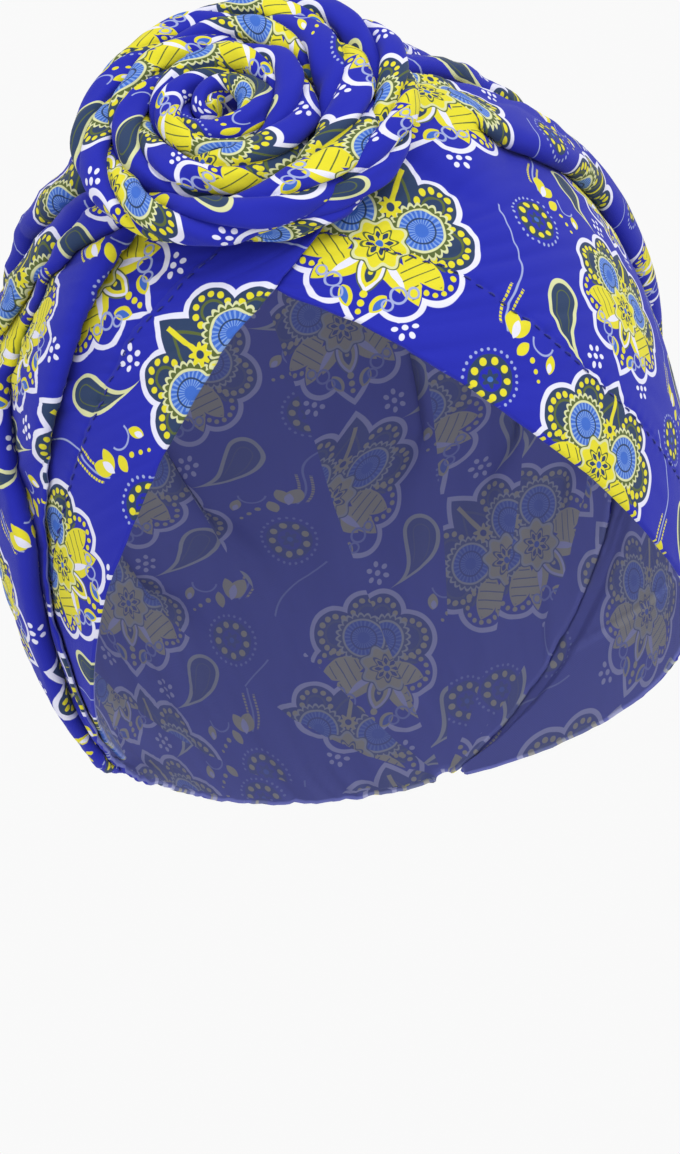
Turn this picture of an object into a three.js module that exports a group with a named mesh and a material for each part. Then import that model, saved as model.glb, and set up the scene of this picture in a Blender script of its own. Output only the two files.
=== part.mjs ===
// Pre-tied turban headwrap in printed jersey, with a flower knot above the forehead.
// Millimetres. X is the viewer's right, -Y is the face, +Z is up, and the origin is the inside of the
// crown's top, where the wearer's head carries it.
//
// Every wall is laid out in two angles about the head's centre. "Down" is the angle from the knot's axis,
// 0 at the knot and 180 at the nape. "Round" is the angle around that axis, 0 towards the back of the
// crown, 90 towards +X, -90 towards -X and 180 at the forehead. Pleats run along lines of equal round.

import * as THREE from "three";
import { mergeVertices } from "three/addons/utils/BufferGeometryUtils.js";

// The head that the cloth is stretched on.
const headHalfWidth = 85;
const headHalfDepth = 103;
const headAboveCentre = 102;
const headBelowCentre = 122;
const headRoundness = 2.2; // power of the superellipsoid
const headCentreZ = -102;
const knotElevation = 50; // degrees above the horizon, from the head's centre

// Cloth.
const wall = 1.6;
const clearance = 0.4; // between two layers, and between the first layer and the head
const firstLayer = clearance + wall / 2; // height of the middle of a wall that lies on the head
const layerStep = wall + clearance;

// Where the pieces' hidden edges lie, in degrees.
const leftBandTopRound = -104; // under the crown's left lip
const leftBandEndDown = 120;
const crownRightRound = 58; // under the right band
const rightBandTopRound = 54;
const rightBandEndDown = 177;

// Knot: a rope wound inwards on a shallow dome, which is tipped further forward than the head is there.
const knotCentre = new THREE.Vector3(-4, -76.5, -15.5);
const knotTilt = 42; // degrees that the dome's axis rises above the horizon
const knotDomeRadius = 120;
const knotTurns = 3.1;
const knotOuterRadius = 42.5; // of the rope's centre line
const knotPitch = 12.6;
const ropeHalfWidth = 6.05;
const ropeRise = 6; // of the rope's top above the dome's centre line
const ropeDepthFront = 5.2; // of its underside below that line at the forehead
const ropeDepthBack = 11.5; // and over the crown
const ropeEndRound = 140; // where the outer end is tucked under

// Opening for the face: half of it as round angle against down angle.
const faceRim = [
  { down: 27.3, round: 178 },
  { down: 30, round: 171 },
  { down: 34, round: 163.5 },
  { down: 40, round: 157 },
  { down: 48, round: 150.5 },
  { down: 59, round: 144.3 },
  { down: 70, round: 138.7 },
  { down: 80, round: 134.8 },
  { down: 90, round: 131 },
  { down: 104, round: 124.5 },
  { down: 120, round: 117 },
  { down: 140, round: 107.5 },
  { down: 160, round: 98 },
  { down: 180, round: 90 },
];

// A band's free edge goes on past the point of the V, over or under the other band.
const crossedEdge = [
  { down: 0, round: 214 },
  { down: 18, round: 212 },
  { down: 20.8, round: 199 },
  { down: 22.6, round: 191 },
  { down: 24.7, round: 184 },
  { down: 27.3, round: 178 },
];

// The crown's creases from its left edge to its right one, as round angle at four down angles, and the
// height in mm of the rolled pleat between a crease and the next.
const creases = [
  { name: "left lip", at25: -121, at45: -119, at65: -122, at100: -120, rollHeight: 3.6 },
  { name: "left first", at25: -108, at45: -95, at65: -108, at100: -110, rollHeight: 6.0 },
  { name: "left second", at25: -92, at45: -88, at65: -88, at100: -86, rollHeight: 7.0 },
  { name: "left third", at25: -73, at45: -63, at65: -62, at100: -62, rollHeight: 7.0 },
  { name: "back left", at25: -44, at45: -40, at65: -38, at100: -38, rollHeight: 8.0 },
  { name: "back middle", at25: -13, at45: -12, at65: -12, at100: -12, rollHeight: 9.0 },
  { name: "back right", at25: 12, at45: 12, at65: 12, at100: 12, rollHeight: 8.5 },
  { name: "right first", at25: 32, at45: 30, at65: 30, at100: 32, rollHeight: 6.5 },
  { name: "right lip", at25: 50, at45: 50, at65: 50, at100: 50, rollHeight: 0 },
];

// The pleat of the right band, between its top edge and the crease that opens towards the side.
const rightCrease = [
  { down: 0, round: 96 },
  { down: 25, round: 92 },
  { down: 35, round: 85 },
  { down: 45, round: 79.5 },
  { down: 54, round: 73 },
  { down: 65, round: 68 },
  { down: 100, round: 64 },
  { down: 180, round: 62 },
];
const rightRollHeight = 6.5;
const rightSwell = 1.6; // of the band between that crease and the rim

const radians = THREE.MathUtils.degToRad;
const smooth = (x, from, to) => THREE.MathUtils.smoothstep(x, from, to);
const headCentre = new THREE.Vector3(0, 0, headCentreZ);
const axis = new THREE.Vector3(0, -Math.cos(radians(knotElevation)), Math.sin(radians(knotElevation)));
const backward = new THREE.Vector3(0, Math.sin(radians(knotElevation)), Math.cos(radians(knotElevation)));
const sideways = new THREE.Vector3(1, 0, 0);

// Round angle at a down angle, straight between a table's rows.
function alongTable(table, down) {
  if (down <= table[0].down) {
    return table[0].round;
  }
  for (let i = 1; i < table.length; i += 1) {
    const from = table[i - 1];
    const to = table[i];
    if (down <= to.down) {
      return THREE.MathUtils.mapLinear(down, from.down, to.down, from.round, to.round);
    }
  }
  return table[table.length - 1].round;
}

// A point at a height above the head in the direction of two angles.
function pointAt(down, round, height) {
  const direction = axis.clone().multiplyScalar(Math.cos(radians(down)));
  direction.addScaledVector(backward, Math.sin(radians(down)) * Math.cos(radians(round)));
  direction.addScaledVector(sideways, Math.sin(radians(down)) * Math.sin(radians(round)));
  const headHeight = direction.z > 0 ? headAboveCentre : headBelowCentre;
  const sum =
    Math.abs(direction.x / headHalfWidth) ** headRoundness +
    Math.abs(direction.y / headHalfDepth) ** headRoundness +
    Math.abs(direction.z / headHeight) ** headRoundness;
  const radius = sum ** (-1 / headRoundness);
  return headCentre.clone().addScaledVector(direction, radius + height);
}

// Numbers from 0 to 1 that crowd towards both ends when the ease is over 0.
function spread(count, ease = 0) {
  return Array.from({ length: count + 1 }, (_, i) => {
    const even = i / count;
    const crowded = (1 - Math.cos(Math.PI * even)) / 2;
    return THREE.MathUtils.lerp(even, crowded, ease);
  });
}

// Pleats begin under the knot and are drawn flat towards the nape.
const pleatFade = (down) => smooth(down, 17, 32) * (1 - smooth(down, 85, 150));
const rollShape = (part) => Math.sin(Math.PI * THREE.MathUtils.clamp(part, 0, 1)) ** 0.8;

// Near the knot the left band lies over the right one.
const crossingLift = (down) => layerStep * (1 - smooth(down, 29, 42));

// A closed wall from a grid of points on its middle: rows[i][j], made thick both ways along its normals.
function wallGeometry(rows, thickness) {
  const rowCount = rows.length;
  const columnCount = rows[0].length;
  const outer = [];
  const inner = [];
  for (let i = 0; i < rowCount; i += 1) {
    for (let j = 0; j < columnCount; j += 1) {
      const alongRow = rows[i][Math.min(j + 1, columnCount - 1)].clone().sub(rows[i][Math.max(j - 1, 0)]);
      const alongColumn = rows[Math.min(i + 1, rowCount - 1)][j].clone().sub(rows[Math.max(i - 1, 0)][j]);
      const normal = alongColumn.cross(alongRow).normalize();
      if (normal.dot(rows[i][j].clone().sub(headCentre)) < 0) {
        normal.negate();
      }
      outer.push(rows[i][j].clone().addScaledVector(normal, thickness / 2));
      inner.push(rows[i][j].clone().addScaledVector(normal, -thickness / 2));
    }
  }
  const total = rowCount * columnCount;
  const indices = [];
  const quad = (a, b, c, d) => indices.push(a, b, c, a, c, d);
  const at = (i, j) => i * columnCount + j;
  for (let i = 0; i < rowCount - 1; i += 1) {
    for (let j = 0; j < columnCount - 1; j += 1) {
      quad(at(i, j), at(i + 1, j), at(i + 1, j + 1), at(i, j + 1));
      quad(total + at(i, j), total + at(i, j + 1), total + at(i + 1, j + 1), total + at(i + 1, j));
    }
  }
  for (let i = 0; i < rowCount - 1; i += 1) {
    const last = columnCount - 1;
    quad(at(i, 0), total + at(i, 0), total + at(i + 1, 0), at(i + 1, 0));
    quad(at(i, last), at(i + 1, last), total + at(i + 1, last), total + at(i, last));
  }
  for (let j = 0; j < columnCount - 1; j += 1) {
    const last = rowCount - 1;
    quad(at(0, j), at(0, j + 1), total + at(0, j + 1), total + at(0, j));
    quad(at(last, j), total + at(last, j), total + at(last, j + 1), at(last, j + 1));
  }
  return solidFrom(outer.concat(inner), indices);
}

// An indexed solid, turned outside out when its volume comes out negative.
function solidFrom(points, indices) {
  const geometry = new THREE.BufferGeometry();
  geometry.setAttribute("position", new THREE.Float32BufferAttribute(points.flatMap((p) => p.toArray()), 3));
  let volume = 0;
  for (let i = 0; i < indices.length; i += 3) {
    const [a, b, c] = [points[indices[i]], points[indices[i + 1]], points[indices[i + 2]]];
    volume += a.dot(b.clone().cross(c));
  }
  if (volume < 0) {
    for (let i = 0; i < indices.length; i += 3) {
      [indices[i + 1], indices[i + 2]] = [indices[i + 2], indices[i + 1]];
    }
  }
  geometry.setIndex(indices);
  return mergeVertices(geometry, 1e-4);
}

function cloth(name, geometry, colour) {
  const material = new THREE.MeshStandardMaterial({ color: colour, roughness: 0.85, metalness: 0 });
  const mesh = new THREE.Mesh(geometry, material);
  mesh.name = name;
  return mesh;
}

// Down angles of the rows: close together where the folds begin, wide apart at the back.
const crownDowns = [
  6, 12, 18, 22, 26, 30, 34, 38, 43, 48, 54, 60, 67, 75, 84, 94, 104, 114, 125, 136, 147, 158, 168, 178.5,
];

// Round angle of a crease at a down angle.
function creaseRound(crease, down) {
  const table = [
    { down: 25, round: crease.at25 },
    { down: 45, round: crease.at45 },
    { down: 65, round: crease.at65 },
    { down: 100, round: crease.at100 },
  ];
  return alongTable(table, down);
}

// The crown's left edge follows its lip, and then the rim once the left band has run out.
function crownLeftRound(down) {
  return Math.max(creaseRound(creases[0], down), -alongTable(faceRim, down));
}

// Height of the crown's middle above the head: first layer, over the left band at its left edge, plus pleats.
function crownHeight(down, round, part, rollHeight) {
  const overBand = 1 - smooth(round, leftBandTopRound + 3, leftBandTopRound + 9);
  const bandThere = 1 - smooth(down, leftBandEndDown + 5, leftBandEndDown + 16);
  const lift = (layerStep + crossingLift(down)) * overBand * bandThere;
  return firstLayer + lift + rollHeight * rollShape(part) * pleatFade(down);
}

function crown() {
  const columnsPerRoll = 5;
  const marginColumns = 2;
  const rows = crownDowns.map((down) => {
    const shift = crownLeftRound(down) - creaseRound(creases[0], down);
    const row = [];
    for (let k = 0; k < creases.length - 1; k += 1) {
      const from = k === 0 ? creaseRound(creases[0], down) + shift : creaseRound(creases[k], down);
      const to = creaseRound(creases[k + 1], down);
      for (const part of spread(columnsPerRoll, 0.6).slice(0, columnsPerRoll)) {
        const round = THREE.MathUtils.lerp(from, to, part);
        row.push(pointAt(down, round, crownHeight(down, round, part, creases[k].rollHeight)));
      }
    }
    const lip = creaseRound(creases[creases.length - 1], down);
    for (const part of spread(marginColumns)) {
      const round = THREE.MathUtils.lerp(lip, crownRightRound, part);
      row.push(pointAt(down, round, crownHeight(down, round, 0, 0)));
    }
    return row;
  });
  return wallGeometry(rows, wall);
}

function leftBand() {
  const downs = crownDowns.filter((down) => down < leftBandEndDown).concat(leftBandEndDown);
  const rows = downs.map((down) => {
    const edge = down < crossedEdge[5].down ? alongTable(crossedEdge, down) : alongTable(faceRim, down);
    return spread(11, 0.3).map((part) => {
      const round = THREE.MathUtils.lerp(leftBandTopRound, -edge, part);
      return pointAt(down, round, firstLayer + crossingLift(down));
    });
  });
  return wallGeometry(rows, wall);
}

// Height of the right band's middle: over the crown at its top edge, a rolled pleat, then a slight swell.
function rightBandHeight(down, round) {
  const crease = alongTable(rightCrease, down);
  const rim = alongTable(faceRim, down);
  const overCrown = layerStep * (1 - smooth(round, crownRightRound + 4, crownRightRound + 10));
  const open = smooth(down, 26, 40);
  const roll = rightRollHeight * rollShape((round - rightBandTopRound) / (crease - rightBandTopRound));
  const whole = rightRollHeight * 0.8 * (1 - smooth(round, rightBandTopRound, 105));
  const swell = rightSwell * rollShape((round - crease) / (rim - crease));
  const pleated = THREE.MathUtils.lerp(whole, roll + swell, open);
  return firstLayer + overCrown + pleated * pleatFade(down);
}

function rightBand() {
  const downs = crownDowns.slice(0, -1).concat(rightBandEndDown);
  const rows = downs.map((down) => {
    const edge = down < crossedEdge[5].down ? alongTable(crossedEdge, down) : alongTable(faceRim, down);
    const crease = alongTable(rightCrease, down);
    const pleat = spread(6, 0.6).map((part) => THREE.MathUtils.lerp(rightBandTopRound, crease, part));
    const front = spread(10, 0.3).slice(1).map((part) => THREE.MathUtils.lerp(crease, edge, part));
    return pleat.concat(front).map((round) => pointAt(down, round, rightBandHeight(down, round)));
  });
  return wallGeometry(rows, wall);
}

// The knot: the rope is deeper over the crown, where the dome stands off the head.
function rosette() {
  const stepsPerTurn = 20;
  const sides = 10;
  const steps = Math.round(knotTurns * stepsPerTurn);
  const up = new THREE.Vector3(0, -Math.cos(radians(knotTilt)), Math.sin(radians(knotTilt)));
  const back = new THREE.Vector3(0, Math.sin(radians(knotTilt)), Math.cos(radians(knotTilt)));
  const points = [];
  for (let i = 0; i <= steps; i += 1) {
    const turn = (i / steps) * knotTurns;
    const radius = knotOuterRadius - knotPitch * turn;
    const round = radians(ropeEndRound - 360 * turn);
    const outward = back.clone().multiplyScalar(Math.cos(round)).addScaledVector(sideways, Math.sin(round));
    const centre = knotCentre.clone().addScaledVector(outward, radius);
    centre.addScaledVector(up, (knotOuterRadius ** 2 - radius ** 2) / (2 * knotDomeRadius));
    const towardsBack = ((Math.cos(round) * radius) / knotOuterRadius + 1) / 2;
    const depth = THREE.MathUtils.lerp(ropeDepthFront, ropeDepthBack, smooth(towardsBack, 0.1, 0.9));
    const taper = [0.55, 0.85, 0.96][Math.min(i, steps - i)] ?? 1;
    for (let k = 0; k < sides; k += 1) {
      const angle = (2 * Math.PI * k) / sides;
      const height = Math.sin(angle) > 0 ? ropeRise : depth;
      const point = centre.clone().addScaledVector(outward, Math.cos(angle) * ropeHalfWidth * taper);
      points.push(point.addScaledVector(up, Math.sin(angle) * height * taper));
    }
    if (i === 0 || i === steps) {
      points.push(centre);
    }
  }
  // The centres of the two end caps follow the first ring and the last one.
  const ringStart = (i) => (i === 0 ? 0 : i * sides + 1);
  const indices = [];
  for (let i = 0; i < steps; i += 1) {
    for (let k = 0; k < sides; k += 1) {
      const next = (k + 1) % sides;
      const [a, b] = [ringStart(i) + k, ringStart(i) + next];
      const [c, d] = [ringStart(i + 1) + next, ringStart(i + 1) + k];
      indices.push(a, d, c, a, c, b);
    }
  }
  for (let k = 0; k < sides; k += 1) {
    const next = (k + 1) % sides;
    indices.push(sides, k, next);
    indices.push(points.length - 1, ringStart(steps) + next, ringStart(steps) + k);
  }
  return solidFrom(points, indices);
}

const group = new THREE.Group();
group.add(cloth("crown", crown(), 0x2a2fb0));
group.add(cloth("left_band", leftBand(), 0x3038c0));
group.add(cloth("right_band", rightBand(), 0x2c34bc));
group.add(cloth("rosette", rosette(), 0x3a44c8));

export default group;
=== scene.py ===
import math
import bpy
import numpy as np
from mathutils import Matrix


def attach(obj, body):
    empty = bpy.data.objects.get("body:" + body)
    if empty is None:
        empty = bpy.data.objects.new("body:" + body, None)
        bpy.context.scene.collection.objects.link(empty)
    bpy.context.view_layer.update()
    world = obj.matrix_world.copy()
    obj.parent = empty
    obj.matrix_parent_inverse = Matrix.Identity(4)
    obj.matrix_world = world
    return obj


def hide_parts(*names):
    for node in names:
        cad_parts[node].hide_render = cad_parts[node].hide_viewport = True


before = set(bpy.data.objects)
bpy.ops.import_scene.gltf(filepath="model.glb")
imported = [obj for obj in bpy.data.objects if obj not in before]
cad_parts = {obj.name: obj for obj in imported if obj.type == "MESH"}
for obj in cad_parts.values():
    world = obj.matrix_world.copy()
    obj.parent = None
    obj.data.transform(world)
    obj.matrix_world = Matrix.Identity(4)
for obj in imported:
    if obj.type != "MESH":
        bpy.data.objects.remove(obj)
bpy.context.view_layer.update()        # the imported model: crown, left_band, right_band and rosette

# A pre-tied turban in printed jersey. Shapes are worked out in millimetres and degrees and scaled to
# metres when a mesh is made. "down" is the angle from the pleats' axis above the forehead (0) to the
# nape (180), "around" the angle about that axis: 0 over the crown, 90 towards +X, 180 at the forehead.

mm = 0.001
scene = bpy.context.scene

# ---- the head that the cloth is stretched on

head = {
    "halfWidth": 85.0,
    "halfDepth": 103.0,
    "above": 102.0,
    "below": 122.0,
    "roundness": 2.2,
    "centreZ": -102.0,
    "axisElevation": 50.0,
    "meanRadius": 105.0,
}

cloth = {"firstLayer": 1.2, "layerStep": 2.0, "wall": 1.3}

faceRim = {
    "down": [27.3, 30, 34, 40, 48, 59, 70, 80, 90, 104, 120, 140, 160, 180],
    "around": [178, 171, 163.5, 157, 150.5, 144.3, 138.7, 134.8, 131, 124.5, 117, 107.5, 98, 90],
}
crossedEdge = {"down": [0, 18, 20.8, 22.6, 24.7, 27.3], "around": [214, 212, 199, 191, 184, 178]}

headCentre = np.array([0.0, 0.0, head["centreZ"]])
tilt = math.radians(head["axisElevation"])
pleatAxis = np.array([0.0, -math.cos(tilt), math.sin(tilt)])
backward = np.array([0.0, math.sin(tilt), math.cos(tilt)])
sideways = np.array([1.0, 0.0, 0.0])


# 0 before start, 1 after end, and 3p^2 - 2p^3 between.
def smooth(x, start, end):

    p = np.clip((np.asarray(x, float) - start) / (end - start), 0.0, 1.0)
    return p * p * (3 - 2 * p)


def mix(a, b, share):
    return a + (b - a) * share


# The superellipsoid's radius in a direction, plus the height, along that direction.
def pointAt(down, around, height):

    down, around, height = np.broadcast_arrays(down, around, height)
    d, a = np.radians(down)[..., None], np.radians(around)[..., None]
    direction = np.cos(d) * pleatAxis + np.sin(d) * (np.cos(a) * backward + np.sin(a) * sideways)
    tall = np.where(direction[..., 2] > 0, head["above"], head["below"])
    power = head["roundness"]
    total = (
        np.abs(direction[..., 0] / head["halfWidth"]) ** power
        + np.abs(direction[..., 1] / head["halfDepth"]) ** power
        + np.abs(direction[..., 2] / tall) ** power
    )
    return headCentre + direction * (total ** (-1 / power) + height)[..., None]


# Millimetres of cloth in one degree around.
def perDegree(down):

    return head["meanRadius"] * np.sin(np.radians(down)) * math.pi / 180


# The free edge of a band: the face opening, and past the V's point the crossed edge.
def rimAround(down):

    rim = np.interp(down, faceRim["down"], faceRim["around"])
    crossed = np.interp(down, crossedEdge["down"], crossedEdge["around"])
    return np.where(np.asarray(down) < crossedEdge["down"][-1], crossed, rim)


# A sum of sine waves of random direction and phase: long along u, short across it, smaller when short.
def ripples(u, v, seed, longest, shortest, height, stretch, count=22):

    rng = np.random.default_rng(seed)
    total = np.zeros(np.broadcast(u, v).shape)
    for wave in rng.uniform(0, 1, (count, 4)):
        length = longest * (shortest / longest) ** wave[0]
        along = (wave[1] - 0.5) * 2 / (length * stretch)
        across = (0.5 + 0.5 * wave[2]) / length
        total += length / longest * np.sin(2 * math.pi * (u * along + v * across + wave[3]))
    return total * height / math.sqrt(count)


# ---- meshes

# The cross product of the two directions of the grid, made unit length; wallPiece turns it away from the head.
def gridNormals(points):

    normal = np.cross(np.gradient(points, axis=0), np.gradient(points, axis=1))
    return normal / np.maximum(np.linalg.norm(normal, axis=-1, keepdims=True), 1e-9)


# Grid indices once around the edge.
def borderLoop(rows, columns):

    index = np.arange(rows * columns).reshape(rows, columns)
    return np.concatenate([index[0, :-1], index[:-1, -1], index[-1, :0:-1], index[:0:-1, 0]])


# A closed wall of cloth: the grid moved out and in by half the wall along its normal, and joined
# round its edge over a row of points that stands out half a wall, so that the edge is round.
def wallPiece(name, points, wall, clothLeft, clothRight, materials):

    rows, columns, _ = points.shape
    total = rows * columns
    normal = gridNormals(points)
    if np.sum(normal * (points - headCentre)) < 0:
        normal = -normal
    flat = points.reshape(-1, 3)
    outer = flat + normal.reshape(-1, 3) * wall / 2
    inner = flat - normal.reshape(-1, 3) * wall / 2
    border = borderLoop(rows, columns)
    inward = np.empty((rows, columns, 3))
    inward[:] = 0
    inward[0] += points[1] - points[0]
    inward[-1] += points[-2] - points[-1]
    inward[:, 0] += points[:, 1] - points[:, 0]
    inward[:, -1] += points[:, -2] - points[:, -1]
    push = inward.reshape(-1, 3)[border]
    push /= np.maximum(np.linalg.norm(push, axis=1, keepdims=True), 1e-9)
    edge = flat[border] - push * wall / 2

    index = np.arange(total).reshape(rows, columns)
    quads = np.stack([index[:-1, :-1], index[1:, :-1], index[1:, 1:], index[:-1, 1:]], -1).reshape(-1, 4)
    nextBorder = np.roll(border, -1)
    ring = 2 * total + np.arange(len(border))
    nextRing = np.roll(ring, -1)
    faces = np.concatenate([
        quads,
        quads[:, ::-1] + total,
        np.stack([border, nextBorder, nextRing, ring], -1),
        np.stack([ring, nextRing, nextBorder + total, border + total], -1),
    ])
    vertices = np.concatenate([outer, inner, edge])
    # the printed place of each corner: quads take their own side of a fold
    leftCloth, rightCloth = clothLeft.reshape(rows, columns - 1, 2), clothRight.reshape(rows, columns - 1, 2)
    quadCloth = np.stack([leftCloth[:-1], leftCloth[1:], rightCloth[1:], rightCloth[:-1]], 2).reshape(-1, 4, 2)
    wholeCloth = np.concatenate([leftCloth, rightCloth[:, -1:]], 1).reshape(-1, 2)
    edgeCloth = np.stack([wholeCloth[border], wholeCloth[nextBorder], wholeCloth[nextBorder], wholeCloth[border]], 1)
    clothUv = np.concatenate([quadCloth, quadCloth[:, ::-1], edgeCloth, edgeCloth])
    # the baked place: outside in the lower half, inside in the upper half, the edge between them
    across, down = np.meshgrid(np.linspace(0.005, 0.995, columns), np.linspace(0.005, 0.485, rows))
    place = np.stack([across, down], -1).reshape(-1, 2)
    quadPlace = place[quads]
    step = np.linspace(0.005, 0.995, len(border) + 1)
    strips = []
    for low, high in ((0.4875, 0.4975), (0.5025, 0.5125)):
        strips.append(np.stack([
            np.stack([step[:-1], np.full(len(border), low)], -1),
            np.stack([step[1:], np.full(len(border), low)], -1),
            np.stack([step[1:], np.full(len(border), high)], -1),
            np.stack([step[:-1], np.full(len(border), high)], -1)], 1))
    bakeUv = np.concatenate([quadPlace, quadPlace[:, ::-1] + [0, 0.51], strips[0], strips[1]])
    slots = np.concatenate([np.zeros(len(quads), int), np.ones(len(quads), int),
                            np.zeros(len(border), int), np.ones(len(border), int)])
    return makeMesh(name, vertices, faces, clothUv, bakeUv, materials, slots)


# A mesh of quads whose faces point out: all are turned round if their volume comes out negative.
def makeMesh(name, vertices, faces, clothUv, bakeUv, materials, slots=None):

    a, b, c, d = (vertices[faces[:, k]] for k in range(4))
    volume = np.sum(a * np.cross(b, c)) + np.sum(a * np.cross(c, d))
    if volume < 0:
        faces = faces[:, ::-1]
        clothUv = clothUv[:, ::-1] if clothUv is not None else None
        bakeUv = bakeUv[:, ::-1] if bakeUv is not None else None
    mesh = bpy.data.meshes.new(name)
    mesh.vertices.add(len(vertices))
    mesh.vertices.foreach_set("co", (vertices * mm).astype(np.float32).ravel())
    mesh.loops.add(faces.size)
    mesh.loops.foreach_set("vertex_index", faces.astype(np.int32).ravel())
    mesh.polygons.add(len(faces))
    mesh.polygons.foreach_set("loop_start", np.arange(0, faces.size, 4, dtype=np.int32))
    for label, uv in (("cloth", clothUv), ("OFBake", bakeUv)):
        if uv is not None:
            layer = mesh.uv_layers.new(name=label)
            layer.uv.foreach_set("vector", np.ascontiguousarray(uv, dtype=np.float32).ravel())
    for material in materials:
        mesh.materials.append(material)
    if slots is not None:
        mesh.polygons.foreach_set("material_index", slots.astype(np.int32))
    mesh.polygons.foreach_set("use_smooth", np.ones(len(faces), dtype=bool))
    mesh.update(calc_edges=True)
    mesh.validate()
    piece = bpy.data.objects.new(name, mesh)
    scene.collection.objects.link(piece)
    return piece


# Where a band's grid lies on the printed cloth, in metres. Cloth distances round the head are laid along arcs
# as wide as the head's own circles look when its skin is unrolled, and the arcs stand as far apart as they
# do on the head; then the whole is turned and moved so that the print falls in place.
def unrolled(down, clothAround, printed):
    d = np.radians(down)
    cosine = np.where(np.abs(np.cos(d)) < 1e-3, 1e-3, np.cos(d))
    arc = 100.0 * np.sin(d) / cosine
    swing = np.radians(clothAround - printed["middle"]) * cosine
    x = -arc * np.sin(swing) - printed["centre"][0]
    y = -100.0 * d + arc * (1 - np.cos(swing)) - printed["centre"][1]
    t = math.radians(printed["turn"])
    place = np.stack([x * math.cos(t) + y * math.sin(t), y * math.cos(t) - x * math.sin(t)], -1) * mm
    return place[:, :-1], place[:, 1:]


# Where each quad's two sides lie on the printed cloth, in metres: along the pleat's crest line, and across
# it by the distance over the folds, turned and moved so that each pleat has a stretch of cloth of its own.
def clothPlaces(points, starts, crests, printed):
    rows, columns, _ = points.shape
    steps = np.linalg.norm(np.diff(points, axis=1), axis=2)
    across = np.concatenate([np.zeros((rows, 1)), np.cumsum(steps, axis=1)], 1)
    sides = [np.empty((rows, columns - 1, 2)) for _ in range(2)]
    ends = list(starts[1:]) + [columns - 1]
    for start, end, crest, (degrees, shiftX, shiftY) in zip(starts, ends, crests, printed):
        along = np.concatenate([[0.0], np.cumsum(np.linalg.norm(np.diff(points[:, crest], axis=0), axis=1))])
        local = across[:, crest : crest + 1] - across
        cosine, sine = math.cos(math.radians(degrees)), math.sin(math.radians(degrees))
        for later, side in enumerate(sides):
            x, y = local[:, start + later : end + later], -along[:, None]
            side[:, start:end, 0] = x * cosine + y * sine + shiftX
            side[:, start:end, 1] = y * cosine - x * sine + shiftY
    return sides[0] * mm, sides[1] * mm


# ---- the print

# A number that a shader node works out, with the usual signs, so that the motifs read as formulas.
class Number:
    def __init__(self, tree, socket):
        self.tree, self.socket = tree, socket

    def node(self, operation, *others, clamp=False):
        made = self.tree.nodes.new("ShaderNodeMath")
        made.operation = operation
        made.use_clamp = clamp
        for socket, other in zip(made.inputs, (self,) + others):
            if isinstance(other, Number):
                self.tree.links.new(other.socket, socket)
            else:
                socket.default_value = other
        return Number(self.tree, made.outputs[0])

    def __add__(self, other):
        return self.node("ADD", other)

    def __sub__(self, other):
        return self.node("SUBTRACT", other)

    def __mul__(self, other):
        return self.node("MULTIPLY", other)

    def __neg__(self):
        return self.node("MULTIPLY", -1.0)

    def atMost(self, other):
        return self.node("MINIMUM", other)

    def atLeast(self, other):
        return self.node("MAXIMUM", other)

    def size(self):
        return self.node("ABSOLUTE")

    def sine(self):
        return self.node("SINE")

    def nearest(self, step):
        return self - self.node("SNAP", step) - step / 2

    # 1 where the number is under zero, with an edge 0.16 mm wide
    def ink(self):
        return self.node("MULTIPLY_ADD", -6.0, 0.5, clamp=True)


def distance(x, y, px=0.0, py=0.0):
    dx, dy = x - px, y - py
    return (dx * dx + dy * dy).node("SQRT")


def disc(x, y, px, py, radius):
    return distance(x, y, px, py) - radius


def turned(x, y, px, py, degrees):
    c, s = math.cos(math.radians(degrees)), math.sin(math.radians(degrees))
    dx, dy = x - px, y - py
    return dx * c + dy * s, dy * c - dx * s


# Two circles' common part: a petal with its tips at half the length, along y.
def petal(x, y, px, py, degrees, length, width):
    lx, ly = turned(x, y, px, py, degrees)
    half, wide = length / 2, width / 2
    offset = (half * half - wide * wide) / (2 * wide)
    return distance(lx.size(), ly, -offset, 0.0) - (offset + wide)


def ring(x, y, px, py, radius, halfWidth):
    return disc(x, y, px, py, radius).size() - halfWidth


# Dots in a circle: the angle is folded into one share of the turn.
def dotRing(x, y, px, py, radius, count, dot, squash=1.0):
    dx, dy = x - px, y - py
    share = 2 * math.pi / count
    angle = dy.node("ARCTAN2", dx) + 4 * math.pi
    folded = angle.nearest(share)
    away = distance(dx, dy)
    return distance(away * folded.node("COSINE") - radius, away * folded.sine() * squash) - dot


# A star or flower outline: its radius swings by the swell as many times as it has petals.
def flower(x, y, px, py, radius, swell, petals, turn=0.0):
    dx, dy = x - px, y - py
    angle = dy.node("ARCTAN2", dx)
    return distance(dx, dy) - ((angle * petals + turn).node("COSINE") * swell + radius)


dyes = {
    "ground": (0.0115, 0.0165, 0.355, 1.0), "yellow": (0.66, 0.60, 0.022, 1.0), "white": (0.68, 0.68, 0.82, 1.0),
    "slate": (0.020, 0.042, 0.105, 1.0), "olive": (0.085, 0.115, 0.030, 1.0), "sky": (0.040, 0.125, 0.50, 1.0),
    "pale": (0.17, 0.29, 0.62, 1.0), "cream": (0.60, 0.62, 0.33, 1.0), "lilac": (0.30, 0.35, 0.60, 1.0),
}
repeat = {"width": 74.5, "height": 50.0}


def newGroup(name, inputs, outputs):
    tree = bpy.data.node_groups.new(name, "ShaderNodeTree")
    for kind, sockets in (("INPUT", inputs), ("OUTPUT", outputs)):
        for label, socketType in sockets:
            tree.interface.new_socket(label, in_out=kind, socket_type="NodeSocket" + socketType)
    return tree, tree.nodes.new("NodeGroupInput"), tree.nodes.new("NodeGroupOutput")


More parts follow.
